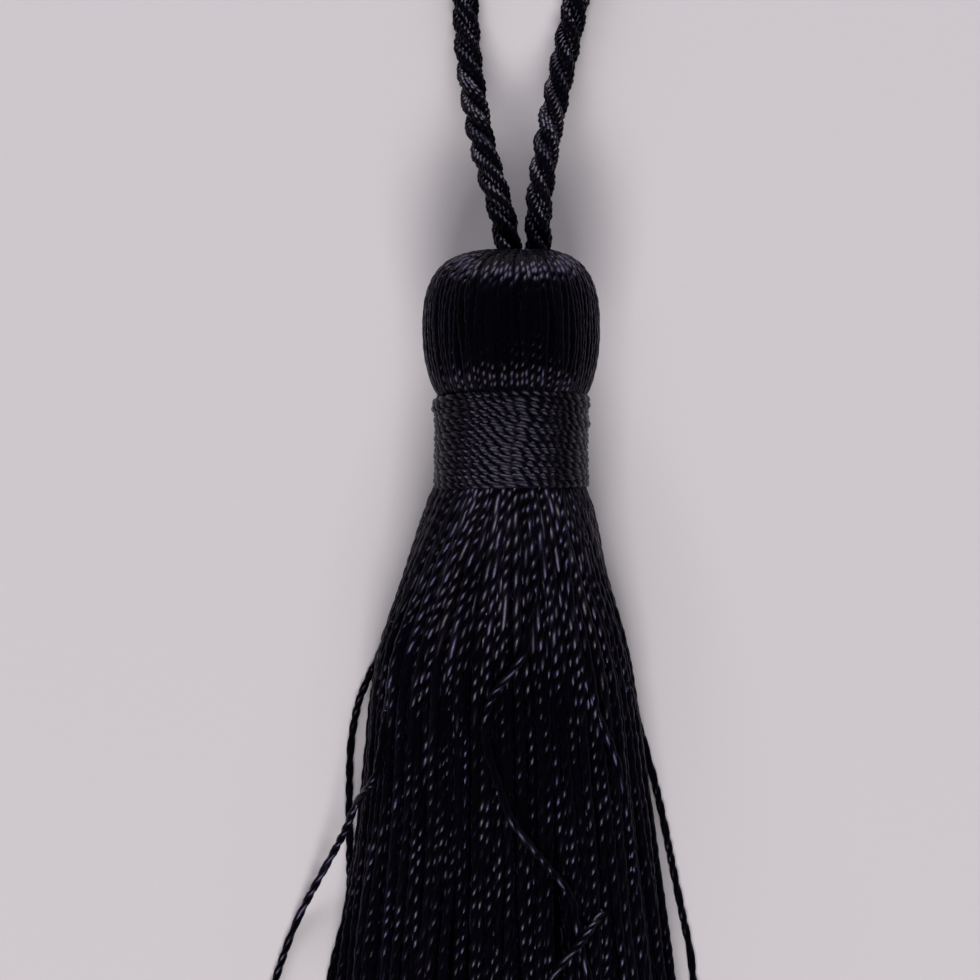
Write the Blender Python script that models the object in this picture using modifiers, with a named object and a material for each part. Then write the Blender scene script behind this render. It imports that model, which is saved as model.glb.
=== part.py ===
"""A silky tassel with a twisted hanging loop, lying on a flat surface.

Metres, +Z up. The tassel lies along Y: the skirt runs towards -Y and the loop towards +Y.
The origin is on the surface, in the middle of the small flat spot on which the head rests.
"""

import math

import bmesh
import bpy
from mathutils import Vector
from mathutils.geometry import interpolate_bezier

MM = 0.001
GAP = 0.3 * MM

# The neck and its binding
NECK_Z = 5.45 * MM
NECK_RADIUS = 4.35 * MM
BAND_TOP = -4.3 * MM
BAND_BOTTOM = -10.8 * MM
BAND_RADIUS = 5.17 * MM
BAND_WAIST = 5.02 * MM
BAND_EDGE = 0.16 * MM
BAND_STEPS = 48

# The head, as sections of the hank from the neck to the crown
HEAD_Z = 5.75 * MM
CROWN_Y = 5.3 * MM
HEAD_SECTIONS = (
    # y, radius, height of the ridges along the hank, in mm
    (-4.00, 5.25, 0.00),
    (-2.90, 5.62, 0.04),
    (-1.50, 5.87, 0.07),
    (0.00, 6.00, 0.07),
    (1.40, 5.95, 0.07),
    (2.70, 5.68, 0.07),
    (3.70, 5.25, 0.06),
    (4.50, 4.60, 0.05),
    (5.00, 3.75, 0.03),
    (5.25, 2.30, 0.00),
)

# The skirt: a grid of strands, spread from the round neck to a low mound on the surface
STRAND_COLUMNS = 24
STRAND_ROWS = 8
ROOT_Y = -11.9 * MM
ROOT_RADIUS = 5.0 * MM
ROOT_INSET = 0.05 * MM
STRAND_FILL = 0.84
HEM_UNEVENNESS = 0.6 * MM
SKIRT_SECTIONS = (
    # y, left edge, right edge, height in mm, share of the mound shape
    (-16.5, -7.20, 6.60, 9.30, 0.40),
    (-23.0, -9.40, 8.35, 7.40, 0.85),
    (-32.0, -10.45, 9.75, 6.20, 1.00),
    (-43.0, -11.90, 11.30, 5.20, 1.00),
    (-74.7, -15.60, 15.60, 4.00, 1.00),
)

# The hanging loop: a cord of three plies
CORD_RADIUS = 0.93 * MM
PLY_GROOVE = 0.24
PLIES = 3
TWIST_LENGTH = 5.3 * MM
STEPS_PER_TWIST = 8
SIDES_PER_PLY = 3
CORD_ROUTE = (
    # x, y, z in mm, from the left end, round the loop, to the right end
    (-0.15, 5.65, 6.00),
    (-0.70, 8.20, 5.90),
    (-1.45, 10.80, 5.20),
    (-2.05, 13.30, 3.90),
    (-2.55, 16.30, 2.30),
    (-2.90, 19.40, 1.25),
    (-3.05, 22.30, 0.96),
    (-3.45, 27.50, 0.95),
    (-4.10, 34.00, 0.95),
    (-4.70, 40.00, 0.95),
    (-4.85, 45.20, 0.95),
    (-3.80, 50.20, 0.95),
    (-1.50, 53.50, 0.95),
    (1.60, 54.40, 0.95),
    (4.80, 53.30, 0.95),
    (7.10, 49.90, 0.95),
    (8.10, 45.00, 0.95),
    (7.80, 39.50, 0.95),
    (6.90, 33.50, 0.95),
    (5.70, 27.80, 0.95),
    (4.50, 22.30, 0.96),
    (3.90, 19.40, 1.25),
    (3.25, 16.30, 2.30),
    (2.65, 13.30, 3.90),
    (2.25, 10.80, 5.20),
    (1.95, 8.20, 5.90),
    (1.90, 5.65, 6.00),
)

# Strands that stray from the skirt: each one's place in the grid, and its own route from there
STRAY_RADIUS = 0.25 * MM
STRAYS = (
    # column, row, route of (y, x, height above the skirt or the surface) in mm
    (0, 3, ((-28.0, -11.0, 0), (-32.0, -11.1, 0), (-38.0, -11.7, 0), (-43.0, -12.5, 0), (-74.0, -16.3, 0))),
    (23, 3, ((-28.0, 9.95, 0), (-33.5, 10.6, 0), (-38.5, 11.5, 0), (-43.0, 12.4, 0), (-73.5, 17.0, 0))),
    (
        0,
        5,
        (
            (-27.0, -9.4, 0.3),
            (-30.5, -9.3, 0.3),
            (-32.2, -10.3, 1.4),
            (-34.6, -11.4, 1.1),
            (-37.5, -13.0, 0.3),
            (-40.0, -14.4, 0),
            (-44.3, -16.0, 0),
            (-52.0, -18.4, 0),
            (-61.0, -20.0, 0),
            (-71.0, -20.6, 0),
        ),
    ),
    (
        15,
        7,
        (
            (-18.5, 1.2, 0.15),
            (-22.2, 0.9, 0.15),
            (-23.4, 0.1, 0.15),
            (-24.9, -1.2, 0.15),
            (-27.0, -1.7, 0.15),
            (-30.9, -0.8, 0.15),
            (-33.3, 0.1, 0.15),
            (-37.5, 3.4, 0.2),
            (-40.4, 4.5, 0.2),
            (-44.3, 5.4, 0.2),
            (-52.0, 6.8, 0.2),
            (-73.8, 8.3, 0.2),
        ),
    ),
)

COLOURS = {
    # node: base colour, roughness
    "head_and_skirt": ((0.012, 0.011, 0.016, 1.0), 0.45),
    "neck_band": ((0.012, 0.011, 0.016, 1.0), 0.4),
    "hanging_loop": ((0.010, 0.009, 0.013, 1.0), 0.5),
}


def clear_scene():
    for obj in list(bpy.data.objects):
        bpy.data.objects.remove(obj, do_unlink=True)


def yarn_material(name):
    colour, roughness = COLOURS[name]
    material = bpy.data.materials.new(name + "_yarn")
    material.use_nodes = True
    shader = material.node_tree.nodes["Principled BSDF"]
    shader.inputs["Base Color"].default_value = colour
    shader.inputs["Roughness"].default_value = roughness
    shader.inputs["Metallic"].default_value = 0.0
    return material


def add_part(collection, name, data):
    part = bpy.data.objects.new(name, data)
    data.materials.append(yarn_material(name))
    collection.objects.link(part)
    return part


def mix(low, high, share):
    return low + (high - low) * share


# --- head and skirt ------------------------------------------------------------------


def disc_place(across, up):
    """Carry a place in the square from -1 to 1 to the round disc of radius 1, with areas kept even."""
    if across == up == 0:
        return 0.0, 0.0
    if abs(across) >= abs(up):
        turn = math.pi / 4 * up / across
        return across * math.cos(turn), across * math.sin(turn)
    turn = math.pi / 4 * across / up
    return up * math.sin(turn), up * math.cos(turn)


def skirt_place(corner, section):
    """Where a place of the strand grid lies in one section of the skirt."""
    y, left, right, height, mound = section
    u, v = disc_place(*corner)
    x = mix(left, right, (u + 1) / 2) * MM
    round_z = NECK_Z + height * MM / 2 * v
    mound_z = height * MM / 2 * (v + math.sqrt(max(0.0, 1 - u * u)))
    return Vector((x, y * MM, mix(round_z, mound_z, mound)))


def on_surface(column, row, section):
    """Whether a strand lies on the surface there, which only the grid's lower rim does."""
    lower_rim = row == 0 or (column in (0, STRAND_COLUMNS - 1) and row < STRAND_ROWS / 2)
    return lower_rim and section[-1] == 1.0


def strand_section(corners, column, row, section):
    """A strand's four corners in one section: bottom, right, top and left of its cell."""
    places = [skirt_place(corner, section) for corner in corners]
    middle = sum(places, Vector()) / 4
    sides = [(places[i] + places[(i + 1) % 4]) / 2 for i in range(4)]
    points = [middle.lerp(side, STRAND_FILL) for side in sides]
    if on_surface(column, row, section):
        lowest = min(point.z for point in points)
        for point in points:
            point.z -= lowest
    return points


def skirt_top(x, y):
    """How high the skirt's top is above the surface there, in millimetres, and 0 beside the skirt."""
    above, below = next(pair for pair in zip(SKIRT_SECTIONS, SKIRT_SECTIONS[1:]) if pair[1][0] <= y)
    share = (above[0] - y) / (above[0] - below[0])
    _, left, right, height, mound = (mix(a, b, share) for a, b in zip(above, below))
    u = (2 * x - left - right) / (right - left)
    if abs(u) >= 1:
        return 0.0
    column = math.sqrt(1 - u * u)
    return mix(NECK_Z / MM + height / 2 * column, height * column, mound)


def stray_section(route, step):
    """The same four corners for a stray strand, square to its route."""
    y, x, lift = route[step]
    before = route[max(0, step - 1)]
    after = route[min(len(route) - 1, step + 1)]
    across = Vector((before[0] - after[0], after[1] - before[1], 0)).normalized()
    middle = Vector((x, y, skirt_top(x, y) + lift)) * MM
    middle.z += STRAY_RADIUS
    up = Vector((0, 0, 1))
    return [middle + way * STRAY_RADIUS for way in (-up, across, up, -across)]


def strand_sections(corners, column, row):
    """Every section that a strand grows through, from the first below its root to the hem."""
    stray = next((route for c, r, route in STRAYS if (c, r) == (column, row)), ())
    first_stray_y = stray[0][0] if stray else -math.inf
    sections = [
        strand_section(corners, column, row, section)
        for section in SKIRT_SECTIONS
        if section[0] > first_stray_y
    ]
    sections += [stray_section(stray, step) for step in range(len(stray))]
    hem_shift = HEM_UNEVENNESS * math.sin(7.3 * column + 4.1 * row)
    for point in sections[-1]:
        point.y += hem_shift
    return sections


def grow_strand(bm, face, sections):
    """Extrude one cell of the neck's end face through the strand's sections."""
    for points in sections:
        face = bmesh.ops.extrude_discrete_faces(bm, faces=[face])["faces"][0]
        for vert, point in zip(face.verts, points):
            vert.co = point


def strand_grid(bm):
    """The neck's end face, one cell for each strand. Returns each cell's corners, column and row."""
    bmesh.ops.create_grid(bm, x_segments=STRAND_COLUMNS, y_segments=STRAND_ROWS, size=1.0)
    cells = {}
    for face in bm.faces:
        middle = face.calc_center_median()
        column = int((middle.x + 1) / 2 * STRAND_COLUMNS)
        row = int((middle.y + 1) / 2 * STRAND_ROWS)
        cells[face] = ([(vert.co.x, vert.co.y) for vert in face.verts], column, row)
    for vert in bm.verts:
        u, v = disc_place(vert.co.x, vert.co.y)
        vert.co = (u * ROOT_RADIUS, ROOT_Y, NECK_Z + v * ROOT_RADIUS)
    bm.normal_update()
    return cells


def ring_angle(vert):
    return math.atan2(vert.co.z - NECK_Z, vert.co.x)


def raise_ring(bm, rim, y, radius, middle_z, ridge=0.0, even=False):
    """Extrude the open rim to a new ring. An even ring is spaced evenly, with ridges along the hank."""
    made = bmesh.ops.extrude_edge_only(bm, edges=rim)["geom"]
    verts = sorted((item for item in made if isinstance(item, bmesh.types.BMVert)), key=ring_angle)
    for index, vert in enumerate(verts):
        angle = ring_angle(vert)
        if even:
            angle = 2 * math.pi * index / len(verts) - math.pi
        reach = radius + ridge * (-1) ** index
        vert.co = (reach * math.cos(angle), y, max(0.0, middle_z + reach * math.sin(angle)))
    return [item for item in made if isinstance(item, bmesh.types.BMEdge)]


def raise_head(bm, rim):
    """From the strands' roots up: the neck under its binding, then the head, closed at the crown."""
    rim = raise_ring(bm, rim, BAND_BOTTOM - GAP, ROOT_RADIUS, NECK_Z)
    rim = raise_ring(bm, rim, BAND_BOTTOM - GAP, NECK_RADIUS, NECK_Z)
    rim = raise_ring(bm, rim, HEAD_SECTIONS[0][0] * MM, NECK_RADIUS, NECK_Z, even=True)
    for y, radius, ridge in HEAD_SECTIONS:
        rim = raise_ring(bm, rim, y * MM, radius * MM, HEAD_Z, ridge * MM, even=True)
    last_ring = {vert for edge in rim for vert in edge.verts}
    crown = bmesh.ops.extrude_edge_only(bm, edges=rim)["geom"]
    tip = [item for item in crown if isinstance(item, bmesh.types.BMVert) and item not in last_ring]
    bmesh.ops.pointmerge(bm, verts=tip, merge_co=(0, CROWN_Y, HEAD_Z))


def head_and_skirt_mesh():
    bm = bmesh.new()
    cells = strand_grid(bm)
    bmesh.ops.inset_individual(bm, faces=list(cells), thickness=ROOT_INSET, use_even_offset=True)
    rim = [edge for edge in bm.edges if edge.is_boundary]
    for cell, place in cells.items():
        grow_strand(bm, cell, strand_sections(*place))
    raise_head(bm, rim)
    bmesh.ops.recalc_face_normals(bm, faces=bm.faces)
    mesh = bpy.data.meshes.new("head_and_skirt")
    bm.to_mesh(mesh)
    bm.free()
    return mesh


# --- neck band -----------------------------------------------------------------------


def band_profile():
    """Half of the band's section as (radius, height along the neck), down its outer side first."""
    half = (BAND_TOP - BAND_BOTTOM) / 2
    inner = NECK_RADIUS + GAP
    outer = [(BAND_RADIUS - BAND_EDGE, half), (BAND_RADIUS, half - BAND_EDGE)]
    waist = [(BAND_WAIST + (BAND_RADIUS - BAND_WAIST) * share**2, half * share) for share in (0.5, 0, -0.5)]
    foot = [(BAND_RADIUS, BAND_EDGE - half), (BAND_RADIUS - BAND_EDGE, -half)]
    return outer + waist + foot + [(inner, -half), (inner, half)]


def neck_band(collection):
    """A turned ring round the neck, its axis along the tassel."""
    profile = band_profile()
    mesh = bpy.data.meshes.new("neck_band")
    edges = [(i, (i + 1) % len(profile)) for i in range(len(profile))]
    mesh.from_pydata([(radius, 0, height) for radius, height in profile], edges, [])
    band = add_part(collection, "neck_band", mesh)
    band.location = (0, (BAND_TOP + BAND_BOTTOM) / 2, NECK_Z)
    band.rotation_euler = (-math.pi / 2, 0, 0)
    turn = band.modifiers.new("Turn", "SCREW")
    turn.steps = BAND_STEPS
    turn.render_steps = BAND_STEPS
    turn.use_merge_vertices = True
    turn.merge_threshold = 0.0001 * MM


# --- hanging loop --------------------------------------------------------------------


def smooth_route(points, pieces=24):
    """Many places along one smooth curve through the route's own points."""
    places = []
    for i in range(len(points) - 1):
        start, end = points[i], points[i + 1]
        reach = (end - start).length / 3
        leave = (end - points[max(0, i - 1)]).normalized() * reach
        arrive = (points[min(len(points) - 1, i + 2)] - start).normalized() * reach
        places += interpolate_bezier(start, start + leave, end - arrive, end, pieces)[:-1]
    return places + [points[-1]]


def even_steps(places, step):
    """The same curve with its places a fixed step apart, near enough, and both ends kept."""
    lengths = [0.0]
    for a, b in zip(places, places[1:]):
        lengths.append(lengths[-1] + (b - a).length)
    count = round(lengths[-1] / step)
    found = []
    index = 0
    for i in range(count + 1):
        wanted = lengths[-1] * i / count
        while index < len(lengths) - 2 and lengths[index + 1] < wanted:
            index += 1
        share = (wanted - lengths[index]) / (lengths[index + 1] - lengths[index])
        found.append(places[index].lerp(places[index + 1], share))
    return found


def ply_outline(collection):
    """The cord's section: one lobe for each ply, with a groove between them."""
    curve = bpy.data.curves.new("cord_section", "CURVE")
    curve.dimensions = "2D"
    spline = curve.splines.new("POLY")
    sides = PLIES * SIDES_PER_PLY
    spline.points.add(sides - 1)
    for i, point in enumerate(spline.points):
        angle = -2 * math.pi * i / sides
        radius = CORD_RADIUS * (1 - PLY_GROOVE * (1 - math.cos(PLIES * angle)) / 2)
        point.co = (radius * math.cos(angle), radius * math.sin(angle), 0, 1)
    spline.use_cyclic_u = True
    outline = bpy.data.objects.new("cord_section", curve)
    outline.hide_render = True
    outline.display_type = "WIRE"
    collection.objects.link(outline)
    return outline


def hanging_loop(collection, guides):
    """The cord's section swept along its route, turning with the plies' twist."""
    route = [Vector(point) * MM for point in CORD_ROUTE]
    places = even_steps(smooth_route(route), TWIST_LENGTH / STEPS_PER_TWIST)
    curve = bpy.data.curves.new("hanging_loop", "CURVE")
    curve.dimensions = "3D"
    curve.twist_mode = "MINIMUM"
    curve.bevel_mode = "OBJECT"
    curve.bevel_object = ply_outline(guides)
    curve.use_fill_caps = True
    spline = curve.splines.new("POLY")
    spline.points.add(len(places) - 1)
    for i, (point, place) in enumerate(zip(spline.points, places)):
        point.co = (*place, 1)
        point.tilt = 2 * math.pi * i / STEPS_PER_TWIST
    add_part(collection, "hanging_loop", curve)


def main():
    clear_scene()
    tassel = bpy.data.collections.new("tassel")
    guides = bpy.data.collections.new("guides")
    for collection in (tassel, guides):
        bpy.context.scene.collection.children.link(collection)
    add_part(tassel, "head_and_skirt", head_and_skirt_mesh())
    neck_band(tassel)
    hanging_loop(tassel, guides)


main()
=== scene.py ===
import math

import bmesh
import bpy
import numpy as np
from bpy.props import FloatProperty, FloatVectorProperty, IntProperty, PointerProperty
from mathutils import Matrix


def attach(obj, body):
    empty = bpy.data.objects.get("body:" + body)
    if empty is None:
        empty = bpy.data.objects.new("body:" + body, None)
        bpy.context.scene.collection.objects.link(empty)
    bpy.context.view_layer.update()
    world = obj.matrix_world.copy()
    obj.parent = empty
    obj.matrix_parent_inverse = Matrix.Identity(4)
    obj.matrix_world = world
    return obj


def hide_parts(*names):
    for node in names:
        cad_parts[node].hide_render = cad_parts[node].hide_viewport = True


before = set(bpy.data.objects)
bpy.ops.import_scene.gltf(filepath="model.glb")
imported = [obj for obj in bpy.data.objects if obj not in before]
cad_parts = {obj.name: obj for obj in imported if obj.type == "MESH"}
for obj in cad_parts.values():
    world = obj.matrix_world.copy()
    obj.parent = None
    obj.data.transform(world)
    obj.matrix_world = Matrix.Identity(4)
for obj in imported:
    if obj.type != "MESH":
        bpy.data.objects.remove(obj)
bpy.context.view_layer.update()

bl_info = {
    "name": "Black Yarn Tassel",
    "version": (1, 0, 0),
    "blender": (4, 5, 0),
    "location": "3D View > Sidebar > Tassel",
    "description": "Lays every yarn of a black tassel, its wound neck and its twisted loop",
    "category": "Object",
}

MM = 0.001
UV_NAME = "along_yarn"
SHADE_NAME = "yarn_shade"

# One seed for the random draws of each group of pieces
SEEDS = {"loop": 11, "head": 23, "band": 37, "skirt": 41, "strays": 59}

# Heights above the surface in mm: the neck's middle, the head's middle, a lying yarn's middle
NECK_Z = 5.45
HEAD_Z = 5.75
LYING_Z = 0.25

# Radius of each piece's yarn, for a yarn of width 1: over a half, as neighbours press into each other
YARN_RADIUS = {"head": 0.62, "band": 0.68, "skirt": 0.60, "strays": 0.58}
# How fast each yarn turns, as a share of its set twist, from the slowest to the fastest
TWIST_PACE = (0.94, 1.06)
# How its turning runs ahead and behind along it: length of each wave in mm, size in radians
UNEVEN_TWIST = ((14.0, 1.2), (5.5, 0.6))
# How much each yarn's waves are squeezed or drawn out, as a share
WAVE_STRETCH = (0.8, 1.25)
# How far a strand's sides crowd towards the grooves between its plies, as a share
GROOVE_CROWDING = 0.13

# The head, from the crown down to where its yarns go in under the binding, in mm
HEAD_RADIUS = 6.0
HEAD_MIDDLE_X = 0.07
HEAD_JITTER = 0.12  # as a share of the space between two yarns
HEAD_WANDER = 0.035  # in radians
HEAD_LAYER_STEP = 0.36
INNER_LAYER_FEWER = 6  # yarns than in the outer layer
CROWN_MIDDLE_X = 0.87
CROWN_RADIUS = 0.3
# At the crown three neighbours lie at three levels: each one's share of the lowest, how low that is, and
# how far it is drawn in
CROWN_LEVELS = (0.0, 0.55, 1.0)
CROWN_DEPTH = 0.55
CROWN_DRAW = 0.12
HEAD_STRANDS = (
    # plies, sides, rings and lean of the plies, for the outer layer and then for those under it
    (2, 10, 66, 0.14),
    (2, 6, 24, 0.14),
)
HEAD_PROFILE = (
    # y, radius to the middle of the yarn, height of the ring's middle, in mm
    (3.60, 0.75, HEAD_Z),
    (4.60, 1.15, HEAD_Z),
    (4.94, 2.00, HEAD_Z),
    (4.75, 3.20, HEAD_Z),
    (4.25, 4.28, HEAD_Z),
    (3.42, 5.03, HEAD_Z),
    (2.35, 5.48, HEAD_Z),
    (1.20, 5.68, HEAD_Z),
    (-0.20, 5.73, HEAD_Z),
    (-1.60, 5.66, HEAD_Z),
    (-2.90, 5.42, 5.80),
    (-3.90, 5.10, 5.70),
    (-4.60, 4.70, 5.50),
    (-5.40, 4.30, NECK_Z),
)

# The binding round the neck, in mm
BAND_TOP = -4.30
BAND_BOTTOM = -10.80
BAND_MIDDLE_X = 0.08
BAND_MARGIN = 0.24  # between the top and the first turn
BAND_SPARE_TURNS = 0.3  # at each end
BAND_START = 140  # degrees from +X towards +Z
BAND_UNEVEN_Y = 0.04
BAND_UNEVEN_RADIUS = 0.03
BAND_TUCK = 1.1  # how deep each end goes in under the turns
BAND_TUCK_TURNS = 0.08
BAND_STRAND = (2, 12, 0.27)  # plies, sides, lean of the plies
BAND_RINGS = 190  # in each turn
# How many turns and degrees each lump reaches
LUMP_TURNS = 0.55
LUMP_DEGREES = 16
BAND_LUMPS = (
    # turn from the top, side in degrees from +X towards +Z, how far the yarn stands out in mm
    (1.8, 172.0, 0.26),
    (1.4, 12.0, 0.16),
    (4.8, 8.0, 0.14),
    (9.6, 176.0, 0.07),
)

# The skirt, section by section down the tassel, to the middle of its outer yarns
SKIRT_SECTIONS = (
    # y, left edge, right edge and height in mm, share of the mound (0 round the neck, 1 on the surface)
    (-9.60, -4.10, 4.10, 8.60, 0.00),
    (-10.70, -4.85, 4.75, 9.00, 0.00),
    (-11.80, -5.36, 5.24, 8.57, 0.08),
    (-14.00, -6.15, 5.85, 7.85, 0.38),
    (-16.50, -6.95, 6.37, 7.30, 0.68),
    (-23.00, -9.10, 8.15, 6.05, 0.97),
    (-32.00, -10.10, 9.50, 5.66, 1.00),
    (-43.00, -11.60, 11.05, 5.00, 1.00),
    (-58.00, -13.55, 13.20, 4.25, 1.00),
    (-75.60, -15.35, 15.35, 3.60, 1.00),
)
HEM_Y = -74.7
# The power of the mound's rounded section at each y: 2 is an ellipse, and more is squarer
MOUND_POWER = ((-60.0, -23.0, -15.0), (2.0, 2.9, 2.0))
SKIRT_SHELLS = (
    # share of the way out from the middle of the hank, yarns in the shell
    (1.00, 84),
    (0.92, 78),
    (0.83, 66),
    (0.70, 52),
    (0.50, 34),
)
SKIRT_STRANDS = {
    # plies, sides, rings, lean of the plies
    "fine": (2, 10, 236, 0.23),
    "middle": (2, 8, 190, 0.28),
    "plain": (2, 6, 160, 0.28),
    "inner": (1, 4, 60, 0.0),
}
SKIRT_JITTER = 0.25  # as a share of the space between two yarns
LOWER_SINE = -0.2  # a shell's lower yarns have a bearing whose sine is less
HEM_HALF_WIDTH = 15
# How far a yarn ripples sideways in mm, and in how many waves
RIPPLE = 0.15
RIPPLE_WAVES = (5.0, 9.0, 14.0)
# How far it rises and falls in mm, at shares of the way down, and in how many waves
CRIMP = ((0, 0.08, 0.25, 0.4, 1), (0, 0.5, 0.5, 0.13, 0.06))
CRIMP_WAVES = (3.0, 6.0, 10.0)
# How many times that is added again at the left edge, at shares of the way down
LEFT_CRIMP = ((0, 0.5, 0.8), (0, 2, 7))
# Painted shade: how strongly the duller, darker dyes are favoured at the sides, to darken the skirt's sides
# as the light leaves them
FLANK_PAINTED_SHADE = 5.0

# Yarns that stray: the shade of each, and its route's x, y and height above the skirt or the surface, in mm
STRAY_STRAND = (2, 10, 230, 0.30)  # plies, sides, rings, lean of the plies
STRAY_SMOOTHING = 4  # rings on either side that a stray's height is evened out over
STRAYS = {
    "bow_left": (0.9, (
        (-7.90, -20.00, 0.00), (-9.00, -22.40, 0.00), (-9.75, -24.00, 0.00), (-10.38, -25.60, 0.00),
        (-10.90, -28.40, 0.00), (-11.02, -31.80, 0.00), (-11.00, -36.20, 0.00), (-11.06, -39.20, 0.00),
        (-12.30, -44.40, 0.00), (-14.30, -58.00, 0.00), (-16.30, -74.30, 0.00),
    )),
    "flyaway_left": (0.3, (
        (-8.40, -26.00, 0.10), (-8.80, -28.60, 0.60), (-9.18, -30.50, 1.20), (-10.34, -32.20, 2.70),
        (-11.42, -34.60, 1.90), (-13.00, -37.50, 0.90), (-14.28, -39.90, 0.20), (-15.15, -41.90, 0.00),
        (-16.05, -44.50, 0.00), (-18.40, -52.00, 0.00), (-20.00, -61.00, 0.00), (-20.50, -71.00, 0.00),
    )),
    "bow_right": (0.9, (
        (7.90, -24.00, 0.00), (9.10, -28.00, 0.00), (9.85, -30.70, 0.00), (10.50, -33.50, 0.00),
        (11.18, -36.90, 0.00), (11.86, -40.20, 0.00), (12.40, -42.80, 0.00), (12.58, -44.50, 0.00),
        (13.60, -52.00, 0.00), (16.95, -73.60, 0.00),
    )),
    "wanderer": (0.3, (
        (1.60, -16.50, -0.20), (1.25, -20.40, 0.50), (0.95, -22.00, 1.05), (0.10, -23.30, 0.90),
        (-1.20, -24.90, 0.60), (-1.66, -26.60, 0.35), (-1.56, -28.40, 0.50), (-0.80, -30.90, 1.05),
        (0.10, -33.30, 1.40), (1.25, -34.90, 1.05), (2.15, -36.00, 0.75), (3.40, -37.50, 0.35),
        (4.12, -38.50, 0.45), (4.50, -40.40, 0.60), (4.80, -42.00, 0.45), (5.40, -44.30, 0.25),
        (6.80, -52.00, 0.10), (8.30, -73.90, 0.10),
    )),
    "crosser_low": (0.5, (
        (6.30, -39.60, -0.25), (5.20, -41.10, 0.95), (3.45, -43.20, 0.60), (2.75, -44.40, 0.35),
        (1.90, -47.00, 0.10), (1.70, -52.00, 0.00), (2.40, -62.00, -0.10), (3.00, -74.60, -0.10),
    )),
    "lit_right": (0.7, (
        (3.00, -10.30, -0.10), (3.42, -11.90, 0.06), (3.75, -15.00, 0.10), (4.10, -18.50, 0.10),
        (4.98, -23.40, 0.10), (5.86, -26.00, 0.12), (7.15, -29.10, 0.12), (7.85, -32.00, 0.10),
        (8.50, -37.00, 0.05), (9.60, -46.00, -0.05), (12.40, -74.50, -0.10),
    )),
}

# The hanging loop, in mm
CORD_PLIES = 3
CORD_STEP = 0.125  # between two rings
PLY_FULLNESS = 1.16  # against three round plies that only touch
PLY_RISE_SHARE = 0.4  # how much of the route's rise counts in the turning of the plies
FINE_YARN_SIDES = 4  # of each fine yarn that show round the ply
FINE_YARN_LEAN = 0.64  # of its middle from the ply's, as a share of the ply's radius
FINE_YARN_BEADS = (0.46, 0.17)  # length of a bead, its depth as a share of the radius
BEAD_STAGGER = 2.4  # radians from one fine yarn's beads to the next one's
# Its route, the same points as the solid's
CORD_ROUTE = (
    # x, y, z in mm, from the left end, round the loop, to the right end
    (-0.15, 5.65, 6.00),
    (-0.70, 8.20, 5.90),
    (-1.45, 10.80, 5.20),
    (-2.05, 13.30, 3.90),
    (-2.55, 16.30, 2.30),
    (-2.90, 19.40, 1.25),
    (-3.05, 22.30, 0.96),
    (-3.45, 27.50, 0.95),
    (-4.10, 34.00, 0.95),
    (-4.70, 40.00, 0.95),
    (-4.85, 45.20, 0.95),
    (-3.80, 50.20, 0.95),
    (-1.50, 53.50, 0.95),
    (1.60, 54.40, 0.95),
    (4.80, 53.30, 0.95),
    (7.10, 49.90, 0.95),
    (8.10, 45.00, 0.95),
    (7.80, 39.50, 0.95),
    (6.90, 33.50, 0.95),
    (5.70, 27.80, 0.95),
    (4.50, 22.30, 0.96),
    (3.90, 19.40, 1.25),
    (3.25, 16.30, 2.30),
    (2.65, 13.30, 3.90),
    (2.25, 10.80, 5.20),
    (1.95, 8.20, 5.90),
    (1.90, 5.65, 6.00),
)


def length_setting(name, description, default):
    return FloatProperty(
        name=name, description=description, default=default * MM, min=0.0, precision=5, unit="LENGTH"
    )


def colour_setting(name, description, default):
    return FloatVectorProperty(
        name=name, description=description, default=default, size=3, min=0.0, max=1.0, subtype="COLOR"
    )


def count_setting(name, description, default, least):
    return IntProperty(name=name, description=description, default=default, min=least)


class TasselYarnSettings(bpy.types.PropertyGroup):
    """The two-ply yarn of the hank and its binding"""

    width: length_setting("Yarn width", "Across both plies", 0.50)
    twist: length_setting("Yarn twist", "Length of one full turn of the two plies", 1.95)
    colour: colour_setting("Yarn colour", "Dye of the yarn", (0.0003, 0.00025, 0.0005))
    light: colour_setting("Lighter colour", "Dye of the lighter filaments", (0.0012, 0.0010, 0.0022))


class TasselHeadSettings(bpy.types.PropertyGroup):
    """The round head above the binding"""

    yarns: count_setting("Head yarns", "Yarns round the head's outside", 92, 12)
    layers: count_setting("Head layers", "Layers of yarn over the head", 2, 1)


class TasselBandSettings(bpy.types.PropertyGroup):
    """The yarn wound round the neck"""

    radius: length_setting("Band radius", "From the neck's middle to the outside of the turns", 5.34)
    waist: length_setting("Band waist", "How much the middle turns are drawn in", 0.08)
    rise: length_setting("Band rise", "How far the top turns are pushed up over the front", 0.55)
    twist: length_setting("Band yarn twist", "Length of one full turn, tightened by the winding", 1.66)
    turns: FloatProperty(name="Turns", description="Turns of yarn round the neck", default=15.5, min=1.0)


class TasselSkirtSettings(bpy.types.PropertyGroup):
    """The long yarns below the binding"""

    wander: length_setting("Wander", "How far a yarn drifts sideways by the hem", 0.75)
    twist: length_setting("Skirt yarn twist", "Length of one full turn, opened by hanging free", 2.60)
    spread: FloatProperty(
        name="Spread",
        description="How far the top yarns slide down the sides",
        default=0.50,
        min=0.0,
        max=1.0,
    )
    hem: length_setting("Hem unevenness", "How much the cut ends differ in length", 0.60)


class TasselLoopSettings(bpy.types.PropertyGroup):
    """The twisted cord that the tassel hangs by"""

    diameter: length_setting("Cord diameter", "Across the three plies", 2.00)
    twist: length_setting("Cord twist", "Length of one full turn of the plies", 5.80)
    ply_twist: length_setting("Ply twist", "Length of one full turn of the fine yarns in a ply", 4.80)
    fine_yarns: count_setting("Fine yarns", "Fine yarns round each ply", 7, 3)
    tuck: length_setting("Tuck", "How far each end runs on into the crown", 1.30)


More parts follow.
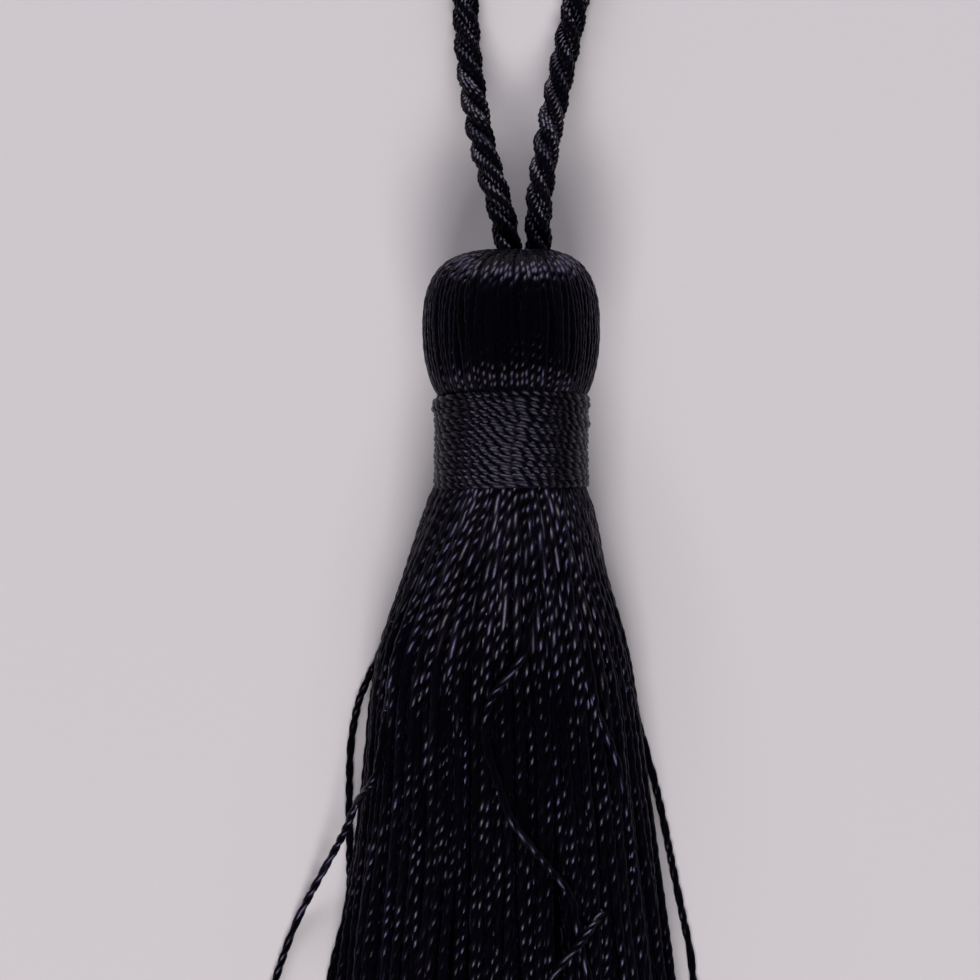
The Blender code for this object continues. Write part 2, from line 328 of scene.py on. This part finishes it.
class TasselStageSettings(bpy.types.PropertyGroup):
    """The surface, the lamps and the camera"""

    floor: colour_setting("Floor colour", "Pale floor under the tassel", (0.327, 0.304, 0.306))
    view_width: length_setting("View width", "Width of the picture at the tassel", 66.64)
    lens: FloatProperty(name="Lens", description="Focal length in millimetres", default=200.0, min=20.0)


# --- shapes shared by the yarns ------------------------------------------------------


class Strand:
    """One straight strand of round plies, kept as arrays so that it can be laid along many routes."""

    def __init__(self, plies, sides, rings, lean):
        """Lean is how far each ply's middle is from the strand's, for a strand of radius 1."""
        bm = bmesh.new()
        bm.loops.layers.uv.new(UV_NAME)
        bmesh.ops.create_grid(bm, x_segments=sides, y_segments=rings, size=1.0, calc_uvs=True)
        step = 2 * math.pi / plies
        for vert in bm.verts:
            angle = math.pi * (vert.co.x + 1)
            off = ((angle + 1e-6) % step / step) * 2 - 1
            angle += step / 2 * GROOVE_CROWDING * math.sin(math.pi * off)
            off = step / 2 * (off + GROOVE_CROWDING * math.sin(math.pi * off))
            radius = lean * math.cos(off) + math.sqrt((1 - lean) ** 2 - (lean * math.sin(off)) ** 2)
            vert.co = (radius * math.cos(angle), radius * math.sin(angle), (vert.co.y + 1) / 2 * rings)
        bmesh.ops.remove_doubles(bm, verts=bm.verts, dist=1e-4)
        ends = bmesh.ops.holes_fill(bm, edges=[edge for edge in bm.edges if edge.is_boundary])["faces"]
        bmesh.ops.recalc_face_normals(bm, faces=ends)
        mesh = bpy.data.meshes.new("strand")
        bm.to_mesh(mesh)
        bm.free()
        points = read(mesh.vertices, "co", 3)
        self.rings, self.plies = rings, plies
        self.ring = np.rint(points[:, 2]).astype(int)
        self.offset = points[:, :2]
        groove = np.arctan2(points[:, 1], points[:, 0]) / step
        column = np.rint(groove).astype(int) % plies
        self.column = np.where((np.abs(groove - np.rint(groove)) < 0.01) & (lean > 0), column, -1)
        corners = read(mesh.loops, "vertex_index", 1, np.int32)
        uv = read(mesh.uv_layers[UV_NAME].uv, "vector", 2)
        self.starts = read(mesh.polygons, "loop_start", 1, np.int32)
        order = self.split_along_twist(uv, sides * rings)
        self.corners, self.uv = corners[order], uv[order]
        bpy.data.meshes.remove(mesh)

    @staticmethod
    def split_along_twist(uv, quads):
        """Start each of the wall's quads at the corner from which its two triangles follow the twist."""
        rank = (uv[: quads * 4, 0] - uv[: quads * 4, 1]).reshape(quads, 4)
        first = np.argmax(rank, axis=1)[:, None]
        turned = np.arange(quads)[:, None] * 4 + (first + np.arange(4)) % 4
        return np.concatenate((turned.ravel(), np.arange(quads * 4, len(uv))))


def read(items, name, width, kind=np.float32):
    found = np.empty(len(items) * width, kind)
    items.foreach_get(name, found)
    return found.reshape(-1, width) if width > 1 else found


def unit(vectors):
    return vectors / np.maximum(np.linalg.norm(vectors, axis=-1, keepdims=True), 1e-12)


def smooth_places(points, pieces=24):
    """Many places along one smooth curve through the given rows, of any number of columns."""
    points = np.asarray(points, float)
    before = np.vstack((points[:1], points[:-1]))
    after = np.vstack((points[1:], points[-1:]))
    tangents = unit(after - before)
    share = (np.arange(pieces) / pieces)[:, None]
    places = []
    for i in range(len(points) - 1):
        start, end = points[i], points[i + 1]
        reach = np.linalg.norm(end - start) / 3
        leave, arrive = start + tangents[i] * reach, end - tangents[i + 1] * reach
        places.append(
            (1 - share) ** 3 * start
            + 3 * (1 - share) ** 2 * share * leave
            + 3 * (1 - share) * share**2 * arrive
            + share**3 * end
        )
    return np.vstack(places + [points[-1:]])


def even_places(places, count):
    """The same curve at count places, an equal distance apart."""
    lengths = along(places)
    wanted = np.linspace(0, lengths[-1], count)
    return np.stack([np.interp(wanted, lengths, column) for column in places.T], axis=1)


def along(places):
    """The distance along each route from its start to each of its places."""
    steps = np.linalg.norm(np.diff(places, axis=-2), axis=-1)
    return np.concatenate([np.zeros_like(steps[..., :1]), np.cumsum(steps, axis=-1)], axis=-1)


def cross_axes(routes, facing):
    """For each place, the axis across the strand and the one that points the way it faces."""
    tangents = unit(np.gradient(routes, axis=-2))
    across = unit(np.cross(np.broadcast_to(facing, routes.shape), tangents))
    return across, np.cross(tangents, across)


def soft_noise(rng, count, places, waves=(0.7, 1.6, 3.1)):
    """A smooth random line for each of count strands, about -1 to 1, over places."""
    share = np.linspace(0, 1, places)
    total = np.zeros((count, places))
    for wave in waves:
        phase = rng.uniform(0, 2 * math.pi, (count, 1))
        stretch = rng.uniform(*WAVE_STRETCH, (count, 1)) * wave
        total += np.sin(2 * math.pi * stretch * share + phase) / (1 + wave)
    return total


def uneven_twist(rng, lengths):
    """How far each yarn's turning runs ahead or behind, in radians."""
    total = np.zeros_like(lengths)
    for reach, size in UNEVEN_TWIST:
        wave = 2 * math.pi * lengths / (reach * rng.uniform(*WAVE_STRETCH, (len(lengths), 1)))
        total += size * np.sin(wave + rng.uniform(0, 2 * math.pi, (len(lengths), 1)))
    return total


def lay_strands(strand, routes, facing, radius, twist, rng, beads=None):
    """The strand's points along every route, turning once in each twist. With beads, each lobe is beaded."""
    lengths = along(routes)
    across, out = cross_axes(routes, facing)
    pace = rng.uniform(*TWIST_PACE, (len(routes), 1))
    start = rng.uniform(0, 2 * math.pi, (len(routes), 1))
    turn = (start + 2 * math.pi * lengths * pace / twist + uneven_twist(rng, lengths))[:, strand.ring]
    x, y = strand.offset.T
    if beads:
        length, depth = beads
        lobe = np.floor(np.arctan2(y, x) / (2 * math.pi) * strand.plies % strand.plies)
        place = math.pi * lengths[:, strand.ring] / length + lobe * BEAD_STAGGER
        radius = radius * (1 - depth * np.sin(place) ** 2)
    sideways = (x * np.cos(turn) - y * np.sin(turn)) * radius
    outwards = (x * np.sin(turn) + y * np.cos(turn)) * radius
    return (
        routes[:, strand.ring]
        + across[:, strand.ring] * sideways[..., None]
        + out[:, strand.ring] * outwards[..., None]
    )


def joined_mesh(name, strand, points, lengths, shades):
    """One mesh of many strands, with its map along the yarn and each yarn's own shade."""
    count, size = points.shape[:2]
    loops, faces = len(strand.corners), len(strand.starts)
    mesh = bpy.data.meshes.new(name)
    mesh.vertices.add(count * size)
    mesh.vertices.foreach_set("co", points.astype(np.float32).ravel())
    mesh.loops.add(count * loops)
    shift = np.arange(count, dtype=np.int32)[:, None]
    mesh.loops.foreach_set("vertex_index", (strand.corners + shift * size).astype(np.int32).ravel())
    mesh.polygons.add(count * faces)
    mesh.polygons.foreach_set("loop_start", (strand.starts + shift * loops).astype(np.int32).ravel())
    dyes = np.searchsorted(np.cumsum([share for *_, share in DYES])[:-1], shades * 0.9999)
    mesh.polygons.foreach_set("material_index", np.repeat(dyes, faces).astype(np.int32))
    uv = np.repeat(strand.uv[None], count, axis=0)
    uv[..., 0] += shift * 2
    uv[..., 1] *= lengths[:, None] / MM
    mesh.uv_layers.new(name=UV_NAME).uv.foreach_set("vector", uv.astype(np.float32).ravel())
    shade = mesh.attributes.new(SHADE_NAME, "FLOAT", "POINT")
    shade.data.foreach_set("value", np.repeat(shades, size).astype(np.float32))
    mesh.update(calc_edges=True)
    mesh.shade_smooth()
    pairs = strand.column[read(mesh.edges, "vertices", 2, np.int32) % size]
    creased = (pairs[:, 0] == pairs[:, 1]) & (pairs[:, 0] >= 0)
    mesh.attributes.new("sharp_edge", "BOOLEAN", "EDGE").data.foreach_set("value", creased)
    return mesh


def yarn_piece(name, strand, routes, facing, radius, twist, rng, beads=None, shades=None):
    """An object of yarns laid along their routes, which are given in millimetres."""
    points = lay_strands(strand, routes, facing, radius, twist, rng, beads) * MM
    lengths = along(routes)[:, -1] * MM
    if shades is None:
        shades = rng.uniform(0, 1, len(routes))
    mesh = joined_mesh(name, strand, points, lengths, shades)
    piece = bpy.data.objects.new(name, mesh)
    bpy.context.scene.collection.objects.link(piece)
    return piece


def dress(piece, materials, slot, *nodes):
    for material in materials:
        piece.data.materials.append(material)
    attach(piece, "root")
    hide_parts(*nodes)


# --- yarn finishes -------------------------------------------------------------------


DYES = (
    # name, tint of its gloss, gloss level, share of the yarns
    ("violet", (0.68, 0.57, 1.00), 0.160, 0.38),
    ("grey", (0.80, 0.70, 1.00), 0.140, 0.26),
    ("blue", (0.55, 0.53, 1.00), 0.160, 0.12),
    ("warm", (0.90, 0.76, 0.95), 0.130, 0.07),
    ("black", (0.80, 0.70, 1.00), 0.060, 0.17),
)
FINISHES = {
    # roughness, gloss against the dye's own, how far the glints are drawn out across the ply (0 to 1)
    "hank_rayon": (0.28, 1.15, 0.88),
    # Painted shade: the head's yarns are the hank's own yarn, given under half its gloss so that the head's
    # glints come out dimmer
    "head_rayon_painted_shade": (0.26, 0.54, 0.80),
    # Painted highlight: the band is wound from the same yarn, given over twice the hank's gloss so that the
    # band's middle shines brighter
    "band_rayon_painted_highlight": (0.33, 2.60, 0.86),
    "loop_rayon": (0.30, 1.00, 0.50),
}
RAYON_IOR = 1.45
SHEEN_TINT = (0.45, 0.35, 1.0)
FILAMENT_SCALE = (26.0, 1.6, 1.0)  # across the yarn, then along it
FILAMENT_HEIGHT = 0.03  # mm
FILAMENT_ROUGHNESS = (-0.04, 0.06)  # added to the finish's own, at the lowest and the highest filaments


def yarn_materials(name, yarn):
    """The same glossy yarn in each of its slightly different dyes."""
    roughness, gloss_by, drawn_out = FINISHES[name]
    return [
        bpy.data.materials.get(f"{name}_{dye}")
        or yarn_material(f"{name}_{dye}", yarn, roughness, tint, gloss * gloss_by, drawn_out)
        for dye, tint, gloss, _ in DYES
    ]


def yarn_material(name, yarn, roughness, tint, gloss, drawn_out):
    """Glossy dyed yarn, whose fine filaments draw each glint out across the ply."""
    material = bpy.data.materials.new(name)
    material.use_nodes = True
    nodes, links = material.node_tree.nodes, material.node_tree.links
    shader = nodes["Principled BSDF"]
    shader.inputs["Metallic"].default_value = 0.0
    shader.inputs["IOR"].default_value = RAYON_IOR
    shader.inputs["Specular IOR Level"].default_value = gloss
    shader.inputs["Specular Tint"].default_value = (*tint, 1.0)
    shader.inputs["Anisotropic"].default_value = drawn_out
    shader.inputs["Sheen Weight"].default_value = 0.014
    shader.inputs["Sheen Roughness"].default_value = 0.3
    shader.inputs["Sheen Tint"].default_value = (*SHEEN_TINT, 1.0)
    across = nodes.new("ShaderNodeTangent")
    across.direction_type = "UV_MAP"
    across.uv_map = UV_NAME
    links.new(across.outputs["Tangent"], shader.inputs["Tangent"])

    place = nodes.new("ShaderNodeUVMap")
    place.uv_map = UV_NAME
    stretch = nodes.new("ShaderNodeMapping")
    stretch.inputs["Scale"].default_value = FILAMENT_SCALE
    filaments = nodes.new("ShaderNodeTexNoise")
    filaments.inputs["Scale"].default_value = 1.0
    filaments.inputs["Detail"].default_value = 3.0
    filaments.inputs["Roughness"].default_value = 0.6
    links.new(place.outputs["UV"], stretch.inputs["Vector"])
    links.new(stretch.outputs["Vector"], filaments.inputs["Vector"])

    bump = nodes.new("ShaderNodeBump")
    bump.inputs["Strength"].default_value = 0.2
    bump.inputs["Distance"].default_value = FILAMENT_HEIGHT * MM
    links.new(filaments.outputs["Fac"], bump.inputs["Height"])
    links.new(bump.outputs["Normal"], shader.inputs["Normal"])

    shade = nodes.new("ShaderNodeAttribute")
    shade.attribute_name = SHADE_NAME
    tone = nodes.new("ShaderNodeMix")
    tone.data_type = "RGBA"
    tone.inputs["A"].default_value = (*yarn.colour, 1.0)
    tone.inputs["B"].default_value = (*yarn.light, 1.0)
    blend = nodes.new("ShaderNodeMath")
    blend.operation = "MULTIPLY"
    links.new(shade.outputs["Fac"], blend.inputs[0])
    links.new(filaments.outputs["Fac"], blend.inputs[1])
    links.new(blend.outputs["Value"], tone.inputs["Factor"])
    links.new(tone.outputs["Result"], shader.inputs["Base Color"])

    finish = nodes.new("ShaderNodeMapRange")
    finish.inputs["To Min"].default_value = roughness + FILAMENT_ROUGHNESS[0]
    finish.inputs["To Max"].default_value = roughness + FILAMENT_ROUGHNESS[1]
    links.new(filaments.outputs["Fac"], finish.inputs["Value"])
    links.new(finish.outputs["Result"], shader.inputs["Roughness"])
    return material


# --- hanging loop --------------------------------------------------------------------


class TASSEL_OT_hanging_loop(bpy.types.Operator):
    """Twist three plies of fine yarns along the loop's route"""

    bl_idname = "tassel.hanging_loop"
    bl_label = "Hanging loop"

    def execute(self, context):
        loop = context.scene.tassel_loop
        rng = np.random.default_rng(SEEDS["loop"])
        tuck = loop.tuck / MM
        ends = np.array(CORD_ROUTE)[[0, -1]] - (0, tuck, 0)
        centre = smooth_places(np.vstack((ends[:1], CORD_ROUTE, ends[1:])))
        rings = round(float(along(centre)[-1]) / CORD_STEP)
        centre = even_places(centre, rings + 1)
        across, out = cross_axes(centre, (0, 0, 1))
        radius = loop.diameter / MM / 2
        ply_radius = radius / (1 + 2 / math.sqrt(3)) * PLY_FULLNESS
        lean = radius - ply_radius
        turned = along(centre * (1, 1, PLY_RISE_SHARE)) / (loop.twist / MM)
        plies = []
        for ply in range(CORD_PLIES):
            turn = 2 * math.pi * (ply / CORD_PLIES - turned)[:, None]
            plies.append(centre + lean * (across * np.cos(turn) + out * np.sin(turn)))
        strand = Strand(loop.fine_yarns, FINE_YARN_SIDES * loop.fine_yarns, rings, FINE_YARN_LEAN)
        plies, twist, beads = np.array(plies), loop.ply_twist / MM, FINE_YARN_BEADS
        cord = yarn_piece("loop_cord", strand, plies, (0, 0, 1), ply_radius, twist, rng, beads=beads)
        dress(cord, yarn_materials("loop_rayon", context.scene.tassel_yarn), "loop_cord", "hanging_loop")
        return {"FINISHED"}


# --- head ----------------------------------------------------------------------------


def head_routes(count, rings, inset, rng):
    """Routes over the head's outside, from the crown down to the binding."""
    profile = even_places(smooth_places(HEAD_PROFILE), rings + 1)
    y, radius, middle_z = profile.T
    share = radius / HEAD_RADIUS
    near_crown = np.clip(1 - share, 0, 1)
    level = np.tile(CROWN_LEVELS, count)[:count, None] * CROWN_DEPTH
    jitter = rng.uniform(-HEAD_JITTER, HEAD_JITTER, count)
    bearing = (np.arange(count) + jitter)[:, None] * 2 * math.pi / count
    bearing = bearing + HEAD_WANDER * soft_noise(rng, count, rings + 1) * share
    reach = np.maximum(radius - inset, CROWN_RADIUS) - level * CROWN_DRAW * (1 - share)
    x = reach * np.cos(bearing) + HEAD_MIDDLE_X * share + CROWN_MIDDLE_X * near_crown**1.5
    z = middle_z + reach * np.sin(bearing)
    y = np.broadcast_to(y, x.shape) - inset * near_crown - level * near_crown
    return np.stack((x, y, np.maximum(z, LYING_Z + inset)), axis=-1)


class TASSEL_OT_head(bpy.types.Operator):
    """Lay the yarns that come over the crown and down to the binding"""

    bl_idname = "tassel.head"
    bl_label = "Head"

    def execute(self, context):
        head, yarn = context.scene.tassel_head, context.scene.tassel_yarn
        rng = np.random.default_rng(SEEDS["head"])
        radius = yarn.width / MM * YARN_RADIUS["head"]
        for layer in range(head.layers):
            inner = min(layer, 1)
            strand = Strand(*HEAD_STRANDS[inner])
            count = head.yarns - inner * INNER_LAYER_FEWER
            routes = head_routes(count, strand.rings, HEAD_LAYER_STEP * layer, rng)
            facing = routes - np.array((0.0, 0.0, HEAD_Z))
            name = f"head_yarns_{layer + 1}"
            piece = yarn_piece(name, strand, routes, facing, radius, yarn.twist / MM, rng)
            # The head's yarns wear the duller copy of the hank's finish, as painted shade
            dress(piece, yarn_materials("head_rayon_painted_shade", yarn), "hank_yarn", "head_and_skirt")
        return {"FINISHED"}


# --- neck band -----------------------------------------------------------------------


class TASSEL_OT_neck_band(bpy.types.Operator):
    """Wind one yarn round the neck, turn beside turn"""

    bl_idname = "tassel.neck_band"
    bl_label = "Neck band"

    def execute(self, context):
        band, yarn = context.scene.tassel_band, context.scene.tassel_yarn
        rng = np.random.default_rng(SEEDS["band"])
        steps = round(band.turns * BAND_RINGS)
        turn = np.linspace(0, band.turns, steps + 1)
        share = turn / band.turns
        half = yarn.width / MM * YARN_RADIUS["band"]
        pitch = (BAND_TOP - BAND_BOTTOM) / (band.turns + 2 * BAND_SPARE_TURNS)
        angle = 2 * math.pi * turn + math.radians(BAND_START)
        drawn_in = band.waist / MM * (1 - (2 * share - 1) ** 2)
        radius = band.radius / MM - half - drawn_in
        radius = radius + BAND_UNEVEN_RADIUS * np.sin(2 * math.pi * turn * 0.31)
        for place, side, lump in BAND_LUMPS:
            away = (np.degrees(angle) - side + 180) % 360 - 180
            radius += lump * np.exp(-((turn - place) / LUMP_TURNS) ** 2 - (away / LUMP_DEGREES) ** 2)
        y = BAND_TOP - BAND_MARGIN - pitch * (turn + BAND_SPARE_TURNS)
        y = y + BAND_UNEVEN_Y * np.sin(angle + 0.7 * np.sin(turn))
        y += band.rise / MM * np.clip(np.sin(angle), 0, 1) ** 1.5 * (1 - share) ** 1.2
        ends_in = BAND_TUCK * np.exp(-turn / BAND_TUCK_TURNS)
        ends_in = ends_in + BAND_TUCK * np.exp((turn - band.turns) / BAND_TUCK_TURNS)
        reach = radius - ends_in
        route = np.stack((BAND_MIDDLE_X + reach * np.cos(angle), y, NECK_Z + reach * np.sin(angle)), axis=-1)
        facing = np.stack((np.cos(angle), 0 * angle, np.sin(angle)), axis=-1)
        plies, sides, lean = BAND_STRAND
        strand = Strand(plies, sides, steps, lean)
        piece = yarn_piece("band_yarn", strand, route[None], facing[None], half, band.twist / MM, rng)
        # The band wears the glossier copy of the yarn's finish, as a painted highlight
        dress(piece, yarn_materials("band_rayon_painted_highlight", yarn), "band_yarn", "neck_band")
        return {"FINISHED"}


# --- skirt ---------------------------------------------------------------------------


def section_at(y):
    """Left edge, right edge, height and mound share of the skirt at each y."""
    table = smooth_places(SKIRT_SECTIONS)
    return [np.interp(-y, -table[:, 0], column) for column in table[:, 1:].T]


def mound_column(u, y):
    """How high the mound stands across its width, from 0 at its edges to 1 in the middle."""
    power = np.interp(y, *MOUND_POWER)
    return np.clip(1 - np.abs(u) ** power, 0, None) ** (1 / power)


def skirt_point(u, v, y):
    """Where a place of the round hank lies in the skirt's section at y."""
    left, right, height, mound = section_at(y)
    x = left + (right - left) * (u + 1) / 2
    round_z = NECK_Z + height / 2 * v
    level = np.clip(v / np.sqrt(np.clip(1 - u * u, 1e-6, None)), -1, 1)
    mound_z = height / 2 * mound_column(u, y) * (1 + level) + LYING_Z
    return np.stack((x, y, round_z + (mound_z - round_z) * mound), axis=-1)


def skirt_top(x, y):
    """How high the skirt's top is above the surface, and the surface beside it."""
    left, right, height, mound = section_at(y)
    u = np.clip((2 * x - left - right) / (right - left), -1, 1)
    column = np.sqrt(1 - u * u)
    top = (NECK_Z + height / 2 * column) * (1 - mound) + height * mound_column(u, y) * mound
    return np.where(np.abs(u) < 1, top, 0.0) + LYING_Z


def skirt_routes(bearings, reach, rings, skirt, rng):
    """Routes from under the binding to the hem, for yarns at these bearings in one shell."""
    count = len(bearings)
    share = np.linspace(0, 1, rings + 1)
    top = SKIRT_SECTIONS[0][0]
    ends = HEM_Y + skirt.hem / MM * rng.uniform(-1, 1, count)
    y = top + (ends[:, None] - top) * share
    drift = skirt.wander / MM / HEM_HALF_WIDTH * share**0.8
    turn = bearings[:, None] + drift * soft_noise(rng, count, rings + 1)
    out = np.minimum(reach + 0.9 * drift * soft_noise(rng, count, rings + 1) - drift * 0.5, 1.0)
    turn = turn - skirt.spread * section_at(y)[3] * np.cos(turn)
    points = skirt_point(out * np.cos(turn), out * np.sin(turn), y)
    points[..., 0] += RIPPLE * soft_noise(rng, count, rings + 1, RIPPLE_WAVES)
    crimp = np.interp(share, *CRIMP)
    crimp = crimp * (1 + np.interp(share, *LEFT_CRIMP) * np.clip(-np.cos(turn), 0, 1))
    points[..., 2] += crimp * soft_noise(rng, count, rings + 1, CRIMP_WAVES)
    points[..., 2] = np.maximum(points[..., 2], LYING_Z)
    return points


def shell_groups(shell, bearings):
    """A shell's pieces: the name of each, how finely its yarns are made, and which yarns they are."""
    upper = np.sin(bearings) > LOWER_SINE
    left = np.cos(bearings) < 0
    if shell == 0:
        return (
            ("upper_left", "fine", upper & left),
            ("upper_right", "fine", upper & ~left),
            ("lower", "plain", ~upper),
        )
    if shell < 3:
        return (("upper", "middle" if shell == 1 else "plain", upper), ("lower", "inner", ~upper))
    return (("inner", "inner", np.full(len(bearings), True)),)


class TASSEL_OT_skirt(bpy.types.Operator):
    """Lay the skirt's yarns from the binding to the hem"""

    bl_idname = "tassel.skirt"
    bl_label = "Skirt"

    def execute(self, context):
        skirt, yarn = context.scene.tassel_skirt, context.scene.tassel_yarn
        rng = np.random.default_rng(SEEDS["skirt"])
        radius = yarn.width / MM * YARN_RADIUS["skirt"]
        strands = {kind: Strand(*make) for kind, make in SKIRT_STRANDS.items()}
        for shell, (reach, count) in enumerate(SKIRT_SHELLS):
            jitter = rng.uniform(-SKIRT_JITTER, SKIRT_JITTER, count)
            bearings = (np.arange(count) + jitter) * 2 * math.pi / count
            for side, kind, chosen in shell_groups(shell, bearings):
                strand = strands[kind]
                routes = skirt_routes(bearings[chosen], reach, strand.rings, skirt, rng)
                # Painted shade: yarns at the skirt's sides take the duller dyes more often, so the sides
                # come out darker
                flank_painted_shade = np.abs(np.cos(bearings[chosen])) ** 2
                shades = 1 - rng.uniform(0, 1, len(routes)) ** (1 + FLANK_PAINTED_SHADE * flank_painted_shade)
                name = f"skirt_yarns_{shell + 1}_{side}"
                twist = skirt.twist / MM
                piece = yarn_piece(name, strand, routes, (0, 0, 1), radius, twist, rng, shades=shades)
                dress(piece, yarn_materials("hank_rayon", yarn), "hank_yarn", "head_and_skirt")
        return {"FINISHED"}


class TASSEL_OT_stray_yarns(bpy.types.Operator):
    """Lay the few yarns that stray from the skirt or wander over it"""

    bl_idname = "tassel.stray_yarns"
    bl_label = "Stray yarns"

    def execute(self, context):
        skirt, yarn = context.scene.tassel_skirt, context.scene.tassel_yarn
        rng = np.random.default_rng(SEEDS["strays"])
        radius = yarn.width / MM * YARN_RADIUS["strays"]
        strand = Strand(*STRAY_STRAND)
        window = 2 * STRAY_SMOOTHING + 1
        kernel = np.ones(window) / window
        routes = []
        for _, points in STRAYS.values():
            x, y, lift = even_places(smooth_places(points), strand.rings + 1).T
            height = np.pad(skirt_top(x, y) + lift, STRAY_SMOOTHING, mode="edge")
            height = np.maximum(np.convolve(height, kernel, mode="valid"), LYING_Z)
            routes.append(np.stack((x, y, height), axis=-1))
        routes, twist = np.array(routes), skirt.twist / MM
        shades = np.array([shade for shade, _ in STRAYS.values()])
        piece = yarn_piece("stray_yarns", strand, routes, (0, 0, 1), radius, twist, rng, shades=shades)
        dress(piece, yarn_materials("hank_rayon", yarn), "hank_yarn", "head_and_skirt")
        return {"FINISHED"}


# --- stage ---------------------------------------------------------------------------


FLOOR_REACH = 2.5  # m, from the middle to each edge
FLOOR_GRAIN = 1400.0  # grains in a metre
FLOOR_GRAIN_HEIGHT = 0.08  # mm
LAMP_AIM = (0.0, -0.02, 0.005)  # m
SKY_COLOUR = (0.9, 0.92, 1.0)
SKY_STRENGTH = 0.055
SENSOR_WIDTH = 36.0
# The place in mm that the camera looks straight down on. The view width is taken at its height
CAMERA_OVER = (-1.36, -11.02, 4)
LAMPS = (
    # name, bearing from +X and height above the surface in degrees,
    # distance, width and height in m, radiance, colour
    ("window_back", 92.0, 17.0, 1.30, 1.15, 0.52, 26.5, (0.92, 0.92, 1.0)),
    ("fill_front", 268.0, 47.0, 1.00, 0.66, 0.26, 31.0, (0.98, 0.97, 1.0)),
)


def floor_material(stage):
    material = bpy.data.materials.new("floor_paper")
    material.use_nodes = True
    nodes, links = material.node_tree.nodes, material.node_tree.links
    shader = nodes["Principled BSDF"]
    shader.inputs["Base Color"].default_value = (*stage.floor, 1.0)
    shader.inputs["Roughness"].default_value = 0.85
    shader.inputs["Specular IOR Level"].default_value = 0.2
    place = nodes.new("ShaderNodeTexCoord")
    grain = nodes.new("ShaderNodeTexNoise")
    grain.inputs["Scale"].default_value = FLOOR_GRAIN
    grain.inputs["Detail"].default_value = 2.0
    bump = nodes.new("ShaderNodeBump")
    bump.inputs["Strength"].default_value = 0.12
    bump.inputs["Distance"].default_value = FLOOR_GRAIN_HEIGHT * MM
    links.new(place.outputs["Object"], grain.inputs["Vector"])
    links.new(grain.outputs["Fac"], bump.inputs["Height"])
    links.new(bump.outputs["Normal"], shader.inputs["Normal"])
    return material


class TASSEL_OT_stage(bpy.types.Operator):
    """Set the floor, the lamps and the camera"""

    bl_idname = "tassel.stage"
    bl_label = "Stage"

    def execute(self, context):
        scene = context.scene
        stage = scene.tassel_stage
        bm = bmesh.new()
        bmesh.ops.create_grid(bm, x_segments=1, y_segments=1, size=FLOOR_REACH)
        mesh = bpy.data.meshes.new("floor")
        bm.to_mesh(mesh)
        bm.free()
        mesh.materials.append(floor_material(stage))
        floor = bpy.data.objects.new("floor", mesh)
        scene.collection.objects.link(floor)

        for name, bearing, lift, distance, width, height, radiance, colour in LAMPS:
            bearing, lift = math.radians(bearing), math.radians(lift)
            away = np.array(
                (math.cos(bearing) * math.cos(lift), math.sin(bearing) * math.cos(lift), math.sin(lift))
            )
            data = bpy.data.lights.new(name, "AREA")
            data.shape = "RECTANGLE"
            data.size, data.size_y = width, height
            data.energy = radiance * math.pi * width * height
            data.color = colour
            lamp = bpy.data.objects.new(name, data)
            lamp.location = np.array(LAMP_AIM) + away * distance
            lamp.rotation_euler = facing_turn(-away)
            scene.collection.objects.link(lamp)

        world = bpy.data.worlds.new("studio")
        world.use_nodes = True
        sky = world.node_tree.nodes["Background"]
        sky.inputs["Color"].default_value = (*SKY_COLOUR, 1.0)
        sky.inputs["Strength"].default_value = SKY_STRENGTH
        scene.world = world
        scene.view_settings.view_transform = "Standard"

        data = bpy.data.cameras.new("camera")
        data.lens = stage.lens
        data.sensor_width = SENSOR_WIDTH
        data.clip_start = 0.01
        camera = bpy.data.objects.new("camera", data)
        x, y, z = CAMERA_OVER
        camera.location = (x * MM, y * MM, stage.view_width * stage.lens / SENSOR_WIDTH + z * MM)
        scene.collection.objects.link(camera)
        scene.camera = camera
        return {"FINISHED"}


def facing_turn(direction):
    """The rotation that turns a lamp's beam along this direction."""
    x, y, z = direction
    return (math.atan2(math.hypot(x, y), -z), 0.0, math.atan2(-x, y))


# --- add-on --------------------------------------------------------------------------


SETTINGS = {
    "tassel_yarn": TasselYarnSettings,
    "tassel_loop": TasselLoopSettings,
    "tassel_head": TasselHeadSettings,
    "tassel_band": TasselBandSettings,
    "tassel_skirt": TasselSkirtSettings,
    "tassel_stage": TasselStageSettings,
}
OPERATORS = (
    TASSEL_OT_stage,
    TASSEL_OT_hanging_loop,
    TASSEL_OT_head,
    TASSEL_OT_neck_band,
    TASSEL_OT_skirt,
    TASSEL_OT_stray_yarns,
)


class TASSEL_PT_sidebar(bpy.types.Panel):
    """Buttons and sizes for the tassel"""

    bl_label = "Tassel"
    bl_idname = "TASSEL_PT_sidebar"
    bl_space_type = "VIEW_3D"
    bl_region_type = "UI"
    bl_category = "Tassel"

    def draw(self, context):
        for operator in OPERATORS:
            self.layout.operator(operator.bl_idname)
        for name, group in SETTINGS.items():
            box = self.layout.box()
            box.label(text=group.__doc__)
            for setting in group.__annotations__:
                box.prop(getattr(context.scene, name), setting)


CLASSES = (*SETTINGS.values(), *OPERATORS, TASSEL_PT_sidebar)


def register():
    for cls in CLASSES:
        bpy.utils.register_class(cls)
    for name, group in SETTINGS.items():
        setattr(bpy.types.Scene, name, PointerProperty(type=group))


def unregister():
    for name in SETTINGS:
        delattr(bpy.types.Scene, name)
    for cls in reversed(CLASSES):
        bpy.utils.unregister_class(cls)


def main():
    register()
    bpy.ops.tassel.stage()
    bpy.ops.tassel.hanging_loop()
    bpy.ops.tassel.head()
    bpy.ops.tassel.neck_band()
    bpy.ops.tassel.skirt()
    bpy.ops.tassel.stray_yarns()


if __name__ == "__main__":
    main()
